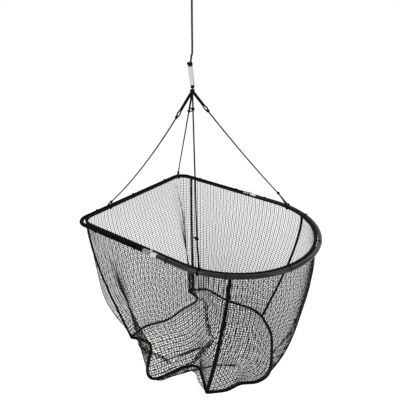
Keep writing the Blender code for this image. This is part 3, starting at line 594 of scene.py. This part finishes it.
def hauling_rope():
    """The rope from its stopper knot up out of the picture, and all that is on it."""
    top = SLEEVE_FOOT + UP * SLEEVE_LENGTH - SLEEVE_WAY * SLEEVE_LEAN
    axis = unit(top - SLEEVE_FOOT)
    stopper = top + axis * (STOPPER_RADIUS + GAP)
    foot = stopper + axis * (STOPPER_RADIUS + GAP) + SLEEVE_WAY * STOPPER_SIDE
    head = UP * (TOP_KNOT_HEIGHT - TOP_KNOT_TALL - GAP)
    straight = UP * (foot[2] + ROPE_BEND)
    leaning = (foot + straight) / 2 + axis * ROPE_RADIUS
    route = evenly(smoothed([foot, leaning, straight, (straight + head) / 2, head]), ROPE_STEP)
    rope = braided_piece("rope", route, ROPE_RADIUS, ROPE_LAY, ROPE_BRAID, flecked=True)
    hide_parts("hauling_rope")

    line = evenly(loop_line(), LOOP_STEP)
    loop = braided_piece("rope_loop", line, ROPE_RADIUS, ROPE_LAY, ROPE_BRAID, flecked=True)
    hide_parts("rope_top_loop")
    body = overhand_knot(UP * TOP_KNOT_HEIGHT, UP, TOP_KNOT_WIDTH, TOP_KNOT_TALL, ROPE_RADIUS)
    knot = cord_piece("rope_loop_knot", *body, ROPE_BRAID)
    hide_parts("rope_top_knot")
    body = overhand_knot(stopper, axis, STOPPER_WIDTH, STOPPER_RADIUS, ROPE_RADIUS * KNOT_STRAND)
    stop = cord_piece("rope_stopper", *body)
    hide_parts("stopper_knot")
    eye = rope_eye(top, axis)
    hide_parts("rope_eye")
    sleeve = sleeve_tube(SLEEVE_FOOT, axis)
    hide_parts("rope_sleeve")
    for piece in (rope, loop, knot, stop, eye, sleeve):
        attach(piece, "rope_line")


def new_circle(name, sides, radius, place, turn):
    """A ring of edges as a new object, open for editing."""
    bpy.ops.object.select_all(action="DESELECT")
    bpy.ops.mesh.primitive_circle_add(vertices=sides, radius=radius, location=place, rotation=turn)
    piece = bpy.context.object
    piece.name = piece.data.name = name
    piece.select_set(True)
    bpy.ops.object.mode_set(mode="EDIT")
    bpy.ops.mesh.select_all(action="SELECT")
    return piece


def push(by):
    bpy.ops.mesh.extrude_region_move(TRANSFORM_OT_translate={"value": by})


def walled(piece, thickness, edge):
    """Ends the edit of an open shell, gives it its wall, inwards, and softens the wall's edges."""
    bpy.ops.mesh.select_all(action="SELECT")
    bpy.ops.mesh.remove_doubles(threshold=0.00001)
    bpy.ops.mesh.normals_make_consistent(inside=False)
    bpy.ops.object.mode_set(mode="OBJECT")
    bpy.ops.object.transform_apply(location=True, rotation=True, scale=True)
    thick = piece.modifiers.new("wall", "SOLIDIFY")
    thick.thickness = thickness
    thick.offset = -1
    thick.use_even_offset = True
    soft_edge = piece.modifiers.new("edges", "BEVEL")
    soft_edge.width = edge
    soft_edge.segments = 2
    soft_edge.limit_method = "ANGLE"
    for change in list(piece.modifiers):
        bpy.ops.object.modifier_apply(modifier=change.name)
    piece.select_set(False)
    piece.data.shade_smooth()


def sleeve_tube(foot, axis):
    """The plastic sleeve: a short tube cut square, with an edge loop near each end."""
    turn = Vector(axis).to_track_quat("Z", "Y").to_euler()
    piece = new_circle("sleeve", SLEEVE_SIDES, SLEEVE_RADIUS, foot, turn)
    for share in SLEEVE_RUNS:
        push(Vector(axis) * SLEEVE_LENGTH * share)
    walled(piece, SLEEVE_RADIUS - SLEEVE_BORE, 0.0003)
    return dress(piece, POLYTHENE)


# Bridles
def turn_round_tube(foot, along, knot):
    """A cord's turn round the tube below a knot: its two legs' tops, and the turn between them."""
    up = knot - foot
    up -= along * (up @ along)
    tall = np.linalg.norm(up)
    up /= tall
    out = np.cross(along, up)
    radius = TUBE_RADIUS + BRIDLE_RADIUS + GAP / 3
    neck = min(tall, radius * NECK_REACH)
    opening = math.acos(radius / neck) * NECK_OPENING
    angles = np.linspace(opening, 2 * math.pi - opening, TURN_POINTS)
    turn = [foot + radius * (up * math.cos(a) + out * math.sin(a)) for a in angles]
    aside = out * LEG_ASIDE
    return [foot + up * neck + aside, foot + up * neck - aside], turn


def bridle(name, rim, way, top_knot, foot_knot, sag):
    """One bridle: the cord, and on it the doubled eye, two knots with tags and the turn round the tube."""
    foot = HUB + (*rim, 0)
    along = unit((*way, 0))
    seat = foot + UP * (TUBE_RADIUS + GAP + KNOT_RADIUS)
    start = GATHER + unit(seat - GATHER) * (GATHER_RADIUS + GAP)
    reach = np.linalg.norm(seat - start)

    def hung(share):
        share = np.asarray(share, float)[..., None]
        return start + (seat - start) * share - UP * 4 * sag * share * (1 - share)

    high_share, low_share = top_knot / reach, 1 - foot_knot / reach
    high, low = hung(high_share), hung(low_share)
    run, last = unit(high - start), unit(seat - low)
    side = unit(np.cross(run, UP))
    over = np.cross(run, side)

    spread = np.linspace(0, 1, EYE_POINTS)[:, None]
    bow = EYE_HALF + EYE_OPENING * np.exp(-((spread - EYE_OPENS_AT) / EYE_OPENS_OVER) ** 2)
    bow[-1] = 0
    eye_near = start + (high - start) * spread + over * bow
    eye_far = start + (high - start) * spread - over * bow
    legs, turn = turn_round_tube(foot, along, low)

    between = hung(np.linspace(high_share, low_share, HANG_POINTS)[1:])
    main = np.vstack([eye_near, between, [legs[0], turn[0]]])
    main = evenly(main, BRIDLE_STEP)
    cord = braided_piece(name + "_cord", main, BRIDLE_RADIUS, BRIDLE_LAY)

    round_tube = np.vstack([turn, [legs[1], low]])
    parts = [tube(evenly(eye_far, EYE_STEP), BRIDLE_RADIUS), tube(round_tube, BRIDLE_RADIUS)]
    lean = unit(side * TAG_ASIDE - run * TAG_BACK)
    for place, way_here, from_end in ((high, run, top_knot), (low, last, foot_knot)):
        parts.append(overhand_knot(place, way_here, KNOT_WIDE, KNOT_TALL, BRIDLE_RADIUS * KNOT_STRAND))
        if from_end > TAG_FROM_END:
            tag = [place, place + lean * TAG_LENGTH / 2, place + (lean + over * TAG_TURN) * TAG_LENGTH]
            parts.append(tube(smoothed(tag, 4), TAG_RADIUS))
    hitch = cord_piece(name + "_hitch", *joined(parts))
    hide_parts(name)
    for piece in (cord, hitch):
        if "nose" in name:
            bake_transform(piece)
        else:
            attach(piece, "back_frame")


def gather_knot():
    """Where the bridles meet: their ends knotted round the rope's eye."""
    parts = [overhand_knot(GATHER, UP, GATHER_RADIUS, GATHER_RADIUS, GATHER_STRAND)]
    turn = np.linspace(0, GATHER_TURNS * 2 * math.pi, COIL_POINTS)
    wide = GATHER_RADIUS - CORD_RADIUS
    drop = np.linspace(wide, -wide, COIL_POINTS)
    coil = np.column_stack([wide * np.cos(turn), wide * np.sin(turn), drop])
    parts.append(tube(coil + GATHER, CORD_RADIUS))
    knot = cord_piece("gather", *joined(parts))
    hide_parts("bridle_gather_knot")
    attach(knot, "back_frame")


# Rim
def rim_half(name, start, moves, material, body):
    """Half of the rim: a round section pushed straight and swung round, run by run, then given its wall."""
    piece = new_circle(name, TUBE_SIDES, TUBE_RADIUS, HUB + start, (0, math.pi / 2, 0))
    for move in moves:
        if len(move) == 1:
            push(move[0])
        else:
            centre, degrees, steps = move
            bpy.ops.mesh.spin(steps=steps, angle=math.radians(degrees), center=HUB + centre, axis=(0, 0, 1))
    walled(piece, TUBE_WALL, 0.0002)
    dress(piece, material)
    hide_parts(name.replace("_bar", "_tube"))
    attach(piece, body)


def rim():
    straight = BACK_LENGTH - CORNER_RADIUS - TUBE_END
    across = 2 * (HALF_WIDTH - CORNER_RADIUS)
    corner_x, corner_y = -BACK_LENGTH + CORNER_RADIUS, HALF_WIDTH - CORNER_RADIUS
    back = [((-straight, 0, 0),), ((corner_x, -corner_y, 0), 90, CORNER_STEPS), ((0, across, 0),),
            ((corner_x, corner_y, 0), 90, CORNER_STEPS), ((straight, 0, 0),)]
    rim_half("back_bar", (-TUBE_END, -HALF_WIDTH, 0), back, TUBE_MATT_PAINTED_SHADE, "back_frame")
    arm = NOSE_STRAIGHT - TUBE_END
    nose = [((arm, 0, 0),), ((NOSE_STRAIGHT, 0, 0), -180, NOSE_STEPS), ((-arm, 0, 0),)]
    rim_half("nose_bar", (TUBE_END, -HALF_WIDTH, 0), nose, TUBE_SATIN_PAINTED_LIGHT, "nose_frame")


def arc(centre_x, centre_y, radius, start, end):
    turn = np.linspace(start, end, ARC_POINTS)
    return np.column_stack([centre_x + radius * np.cos(turn), centre_y + radius * np.sin(turn)])


def back_outline(inset, corner, start):
    half, back = HALF_WIDTH - inset, BACK_LENGTH - inset
    x, y = -back + corner, half - corner
    return np.vstack([[(-start, -half)], arc(x, -y, corner, 1.5 * math.pi, math.pi),
                      arc(x, y, corner, math.pi, 0.5 * math.pi), [(-start, half)]])


def nose_outline(inset, start):
    half = HALF_WIDTH - inset
    turn = arc(NOSE_STRAIGHT, 0, half, 0.5 * math.pi, -0.5 * math.pi)
    return np.vstack([[(start, half)], turn, [(start, -half)]])


def level(outline, height):
    return np.column_stack([outline, np.full(len(outline), height)])


def outwards(line):
    """The level direction across a rim line, away from the mouth."""
    way = unit(np.gradient(line, axis=0))
    across = np.column_stack([-way[:, 1], way[:, 0], 0 * way[:, 0]])
    return across * np.sign(np.sum(across * (line - HUB), axis=1))[:, None]


def head_ropes():
    """The bag's upper edge in each half of the rim: a braided cord, and the hem of tape that holds it."""
    turn = np.linspace(0, 2 * math.pi, HEM_SIDES, endpoint=False)
    for name, outline, body in (("back_head", back_outline(ROPE_INSET, HEAD_ROPE_CORNER, GAP), "back_frame"),
                                ("nose_head", nose_outline(ROPE_INSET, GAP), "nose_frame")):
        line = evenly(level(outline, ROPE_RISE) + HUB, HEAD_ROPE_STEP)
        piece = braided_piece(name + "_braid", line, HEAD_ROPE_RADIUS, HEAD_ROPE_LAY)
        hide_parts(name + "_rope")
        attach(piece, body)
        side = sides_of(line)[0]
        ring = section(side * HEM_WIDE, np.broadcast_to(UP * HEM_TALL, side.shape), turn)
        vertices = (line + HEM_SHIFT * outwards(line))[:, None, :] + ring
        hem = mesh_piece(name + "_hem", vertices.reshape(-1, 3), skin(ring.shape[:2]), TAPE, "black_binding")
        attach(hem, body)


# Net bag
def wall_lines():
    """The top and bottom line of each wall, from seam to seam."""
    back = back_outline(ROPE_INSET, HEAD_ROPE_CORNER, 0)
    nose = nose_outline(ROPE_INSET, 0)
    line = evenly(level(np.vstack([back, nose[1:]]), NET_TOP), 0.001)
    half = HALF_WIDTH - ROPE_INSET

    def back_corner(side, from_back):
        into_corner = max(0, HEAD_ROPE_CORNER - from_back)
        out = half - HEAD_ROPE_CORNER + math.sqrt(HEAD_ROPE_CORNER ** 2 - into_corner ** 2)
        return (from_back - BACK_LENGTH + ROPE_INSET, side * out)

    def on_nose(side, x):
        return (x, side * math.sqrt(half ** 2 - (x - NOSE_STRAIGHT) ** 2))

    marks = [back_corner(-1, SEAM_FROM_BACK_RIGHT), back_corner(1, SEAM_FROM_BACK_LEFT),
             on_nose(1, SEAM_X_NOSE_LEFT), on_nose(-1, SEAM_X_NOSE)]
    at = [int(np.argmin(np.linalg.norm(line[:, :2] - mark, axis=1))) for mark in marks]
    tops = {"back": line[at[0]:at[1] + 1], "side_left": line[at[1]:at[2] + 1], "nose": line[at[2]:at[3] + 1],
            "side_right": np.vstack([line[at[3]:], line[1:at[0] + 1]])}
    return {name: (top, smoothed(BOTTOM_RUNS[name])) for name, top in tops.items()}


def pleated(along, down, wide, depth, marks):
    """Where cloth lies that is folded on itself once: its share along the wall, and how far it stands out.

    marks are shares down, each with the share along at which the pleat's first edge hangs there.
    """
    edge = np.interp(down, [mark[0] for mark in marks], [mark[1] for mark in marks])
    start = marks[0][0]
    wide = wide * np.interp(down, [start, start + PLEAT_OPENS_OVER, PLEAT_CLOSES_FROM, 1], PLEAT_WIDTHS)
    cloth = along * (1 + 2 * wide)
    first, last = edge + wide, edge + 2 * wide
    lies = np.where(cloth < first, cloth, np.where(cloth < last, 2 * first - cloth, cloth - 2 * wide))
    step = (cloth - edge) / np.maximum(wide, 0.0001)
    stands = np.interp(step, [0, 1, 2, 3], [0, 1, -1, 0])
    return lies, depth * stands * (wide > 0)


def slack(name, along):
    """How far a wall's slack stands out, fullest low down; nothing at its seams."""
    if name == "back":
        return BACK_SLACK * (1 - np.exp(-along / BACK_SLACK_RISE)) * np.exp(-(along / BACK_SLACK_REACH) ** 2)
    if name == "nose":
        return NOSE_SLACK * np.sin(math.pi * along)
    return 0 * along


def tautness(name, along):
    """How much of a wall's belly is lost beside the seam that is drawn tight."""
    if name not in TAUT_ENDS:
        return 0 * along
    return TAUT * np.clip(1 - np.abs(along - TAUT_ENDS[name]) / TAUT_REACH, 0, 1)


def wall_surface(name, top, low):
    """A wall as a surface: where its net hangs at a share along and a share down."""
    def place(along, down):
        along, down = np.asarray(along, float), np.asarray(down, float)
        proud = 0 * along
        if name in PLEATS:
            along, proud = pleated(along, down, **PLEATS[name])
        upper, lower = at_shares(top, along), at_shares(low, along)
        out = (upper + lower) / 2 - BOTTOM_CENTRE
        out[:, 2] = 0
        belly = BELLY * (1 - tautness(name, along)) * np.sin(math.pi * down ** BELLY_RISE)
        belly += slack(name, along) * np.sin(math.pi * down ** SLACK_LOW)
        return upper + (lower - upper) * down[:, None] + unit(out) * (belly + proud)[:, None] + HUB
    return place


def bottom_surface(lines):
    """The bottom panel, spanned between its four edges and let sag."""
    back, nose = lines["back"][1], lines["nose"][1][::-1]
    left, right = lines["side_left"][1], lines["side_right"][1][::-1]

    def place(along, across):
        a, b = np.asarray(along)[:, None], np.asarray(across)[:, None]
        ends = (1 - a) * at_shares(back, across) + a * at_shares(nose, across)
        sides = (1 - b) * at_shares(right, along) + b * at_shares(left, along)
        corners = ((1 - a) * (1 - b) * back[0] + (1 - a) * b * back[-1]
                   + a * (1 - b) * nose[0] + a * b * nose[-1])
        made = ends + sides - corners
        sag = (4 * a * (1 - a)) ** SAG_FLAT_ALONG * (4 * b * (1 - b)) ** SAG_FLAT_ACROSS
        made[:, 2:] -= BOTTOM_SAG * sag
        bound = np.clip(np.minimum(np.minimum(a, 1 - a), np.minimum(b, 1 - b)) / BOUND_EDGE, 0, 1)
        for (at_a, at_b), (wide_a, wide_b), by in BOTTOM_POUCHES:
            made += bound * np.exp(-((a - at_a) / wide_a) ** 2 - ((b - at_b) / wide_b) ** 2) * np.array(by)
        return made + HUB
    return place


def pleat_strip(surface, route, wide):
    """A pleat lying on a surface along a route of its shares: cloth out to one side, back, and out again.

    Gives its own surface and its length.
    """
    line = smoothed(route)
    centre = surface(*line.T)
    around = surface(*np.clip(line + (0.01, 0), 0, 1).T), surface(*np.clip(line + (0, 0.01), 0, 1).T)
    out = unit(np.cross(around[0] - centre, around[1] - centre))
    side = unit(np.cross(np.gradient(centre, axis=0), out))

    def place(along, down):
        across = wide * np.interp(down, [0, 1 / 2, 1], [-0.5, 0.5, -0.5])
        stands = np.interp(down, [0, 1 / 2, 1], LAYERS_STAND)
        middle, beside, above = (at_shares(points, along) for points in (centre, side, out))
        return middle + beside * across[:, None] - above * stands[:, None]
    return place, reach_along(centre)[-1]


def netting(surface, columns, rows, closing):
    """Knitted square-mesh netting over a surface: wales down it, every second one heavier, joined by links.

    Gives the corners of the sections: of the wales, wales x rows x 4 x 3, and of the links,
    links x rows x 2 x 4 x 3. The yarn looks fuller where the bag narrows and its meshes close: closing
    says by how much, at top and foot. It is drawn thinner where wales are crowded.
    """
    number = np.arange(columns + 1)[:, None]
    down = np.linspace(0, 1, rows + 1)[None, :]
    wave = WANDER * np.sin(down * WANDER_DOWN + number * WANDER_ALONG) * np.sin(math.pi * number / columns)
    along = (number + wave) / columns
    down = np.broadcast_to(down, along.shape)
    place = surface(along.ravel(), down.ravel()).reshape(*along.shape, 3)
    across = np.gradient(place, axis=0)
    side, drop = unit(across), unit(np.gradient(place, axis=1))
    out = unit(np.cross(side, drop)) * TWINE_HALF
    full = 1 + closing[0] + (closing[1] - closing[0]) * down[:, :, None]
    crowded = np.clip(np.linalg.norm(across, axis=2) / CROWDED_STEP, CROWDED_LEAST, 1)[:, :, None]
    wide = side * np.where(number % 2, THIN_WALE_HALF, WALE_HALF)[:, :, None] * full * crowded
    proud = out * TWINE_PROUD
    wales = np.stack([place + wide, place + proud, place - wide, place - proud], axis=2)
    link = drop * LINK_HALF * full
    ends = np.stack([place + link, place + out, place - link, place - out], axis=2)
    return wales, np.stack([ends[:-1], ends[1:]], axis=2)


def soft(piece, body, replaced):
    """A piece of the bag: it rides on its half of the rim."""
    if replaced:
        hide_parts(*replaced)
    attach(piece, body)
    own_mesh(piece)


def net_piece(name, wales, links, body, replaced):
    """One object from some of a panel's wales and links."""
    count, rings = wales.shape[:2]
    corner = np.arange(4)
    ring = np.stack([corner, (corner + 1) % 4, (corner + 1) % 4 + 4, corner + 4], axis=1)
    runs = (np.arange(count)[:, None] * rings + np.arange(rings - 1)[None, :]).reshape(-1, 1, 1) * 4
    ties = np.arange(links.shape[0] * links.shape[1]).reshape(-1, 1, 1) * 8 + count * rings * 4
    faces = np.vstack([(ring + runs).reshape(-1, 4), (ring + ties).reshape(-1, 4)]).tolist()
    vertices = np.vstack([wales.reshape(-1, 3), links.reshape(-1, 3)])
    soft(mesh_piece(name, vertices, faces, TWINE, "black_netting"), body, replaced)


def bound_seam(name, line, half, body, replaced):
    """A bound edge: tape folded over the net, and a thread that winds round it."""
    line = evenly(line, SEAM_STEP)
    fine = evenly(line, THREAD_STEP)
    side, up = sides_of(fine)
    turn = (reach_along(fine) / THREAD_PITCH * 2 * math.pi)[:, None]
    reach = half + THREAD_PROUD
    thread = fine + side * np.cos(turn) * reach + up * np.sin(turn) * reach * SEAM_FLAT
    parts = [tube(line, half, flat=SEAM_FLAT), tube(thread, THREAD_RADIUS, 4)]
    soft(mesh_piece(name, *joined(parts), TAPE, "black_binding"), body, replaced)


def bottom_binding(lines):
    """The seam round the bottom panel, cut in two where it passes from one half of the rim to the other."""
    ring = np.vstack([lines[name][1][:-1] for name in ("back", "side_left", "nose", "side_right")]) + HUB
    ring = evenly(np.vstack([ring, ring[:1]]), SEAM_STEP)[:-1]
    front = ring[:, 0] > HUB[0]
    first = int(np.argmax(front & ~np.roll(front, 1)))
    ring = np.roll(ring, -first, axis=0)
    cut = int(np.argmax(ring[:, 0] <= HUB[0]))
    half = SEAM_HALVES["seam_bottom"]
    bound_seam("seam_bottom_front", ring[:cut + 1], half, "nose_frame", ["seam_bottom"])
    bound_seam("seam_bottom_back", np.vstack([ring[cut:], ring[:1]]), half, "back_frame", [])


def bag():
    """The bag: four walls and a bottom, bound along every seam. Its front half folds with the nose."""
    lines = wall_lines()
    surfaces = {name: wall_surface(name, *pair) for name, pair in lines.items()}
    surfaces["bottom"] = bottom_surface(lines)
    for name, (wide, tall) in PANEL_SIZES.items():
        wales, links = netting(surfaces[name], round(wide / MESH), round(tall / MESH), CLOSING[name])
        front = wales[:, :, 0, 0].mean(axis=1) > HUB[0]
        halves = [("back", ~front, "back_frame"), ("front", front, "nose_frame")]
        halves = [half for half in halves if half[1].any()]
        for k, (label, chosen, body) in enumerate(halves):
            net_piece(f"netting_{name}_{label}", wales[chosen], links[chosen[:-1]], body,
                      ["net_" + name] if k == 0 else [])
    for k, facts in enumerate(BOTTOM_PLEATS):
        place, long = pleat_strip(surfaces["bottom"], **facts)
        rows = max(4, round(2 * facts["wide"] / MESH))
        wales, links = netting(place, round(long / MESH), rows, PLEAT_CLOSING)
        body = "nose_frame" if wales[..., 0].mean() > HUB[0] else "back_frame"
        net_piece(f"netting_bottom_pleat_{k + 1}", wales, links, body, [])
    for name, (side, body) in SEAM_CORNERS.items():
        line = surfaces[side](np.zeros(SEAM_POINTS), np.linspace(0, 1, SEAM_POINTS))
        bound_seam(name + "_tape", line, SEAM_HALVES[name], body, [name])
    bottom_binding(lines)


def carried_over():
    """The CAD nodes that stay: hinge pieces in zinc, cord ties in braid."""
    for name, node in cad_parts.items():
        if node.hide_render:
            continue
        node.data.materials.clear()
        # Clevis, bolt and nut take the darker zinc copy, painted shade; the hinge tongue and rivets take the
        # lighter one, painted light.
        if "clevis" in name or "bolt" in name or "nut" in name:
            node.data.materials.append(ZINC_PAINTED_SHADE)
        elif "hinge" in name or "rivet" in name:
            node.data.materials.append(ZINC_PAINTED_LIGHT)
        else:
            node.data.materials.append(CORD_BRAID)


# Stage
def looked_at(tree):
    """One for rays that look at a surface, straight, mirrored or through glass; nought for the rest."""
    path = add(tree, "ShaderNodeLightPath", {})
    seen = path.outputs["Is Camera Ray"]
    for ray in ("Is Glossy Ray", "Is Transmission Ray"):
        seen = add(tree, "ShaderNodeMath", {0: seen, 1: path.outputs[ray]}, operation="MAXIMUM").outputs[0]
    return seen


def stage():
    """A pale floor well under the bag, soft lamps, and a world white to the eye and gentler as light."""
    bpy.ops.object.select_all(action="DESELECT")
    bpy.ops.mesh.primitive_plane_add(size=FLOOR_SIZE, location=(0, 0, FLOOR_HEIGHT))
    floor = bpy.context.object
    floor.name = floor.data.name = "floor"
    made, tree, shader, _ = new_material("pale_studio_floor", {"Roughness": 0.9, "Specular IOR Level": 0.1,
                                                               "Base Color": colour("#dededc"),
                                                               "Emission Color": (1, 1, 1, 1)})
    glow = add(tree, "ShaderNodeMath", {0: looked_at(tree), 1: FLOOR_GLOW}, operation="MULTIPLY")
    wired(tree, shader, {"Emission Strength": glow.outputs[0]})
    floor.data.materials.append(made)

    world = bpy.data.worlds.new("studio")
    bpy.context.scene.world = world
    world.use_nodes = True
    tree = world.node_tree
    strength = add(tree, "ShaderNodeMapRange", {"Value": looked_at(tree),
                                                "To Min": WORLD_LIGHT, "To Max": 1.0})
    wired(tree, tree.nodes["Background"], {"Color": (1, 1, 1, 1), "Strength": strength.outputs["Result"]})

    for name, (place, wide, power) in LAMPS.items():
        data = bpy.data.lights.new(name, "AREA")
        data.shape = "RECTANGLE"
        data.size = wide
        data.size_y = LAMP_TALL
        data.energy = power
        lamp = bpy.data.objects.new(name, data)
        bpy.context.scene.collection.objects.link(lamp)
        lamp.location = place
        lamp.rotation_mode = "QUATERNION"
        lamp.rotation_quaternion = (LAMP_AIM - lamp.location).to_track_quat("-Z", "Y")


def camera():
    """The photograph's view."""
    data = bpy.data.cameras.new("camera")
    data.sensor_width = 36
    data.lens = CAMERA_LENS
    made = bpy.data.objects.new("camera", data)
    bpy.context.scene.collection.objects.link(made)
    level_reach = math.cos(CAMERA_ELEVATION)
    back = Vector((math.sin(CAMERA_AZIMUTH) * level_reach, -math.cos(CAMERA_AZIMUTH) * level_reach,
                   math.sin(CAMERA_ELEVATION)))
    made.location = CAMERA_AIM + back * CAMERA_DISTANCE
    made.rotation_mode = "QUATERNION"
    made.rotation_quaternion = back.to_track_quat("Z", "Y")
    bpy.context.scene.camera = made


camera()
hauling_rope()
gather_knot()
for name, facts in BRIDLES.items():
    bridle(name, **facts)
rim()
head_ropes()
bag()
carried_over()
stage()
bpy.context.scene.view_settings.view_transform = "Standard"
bpy.context.view_layer.update()
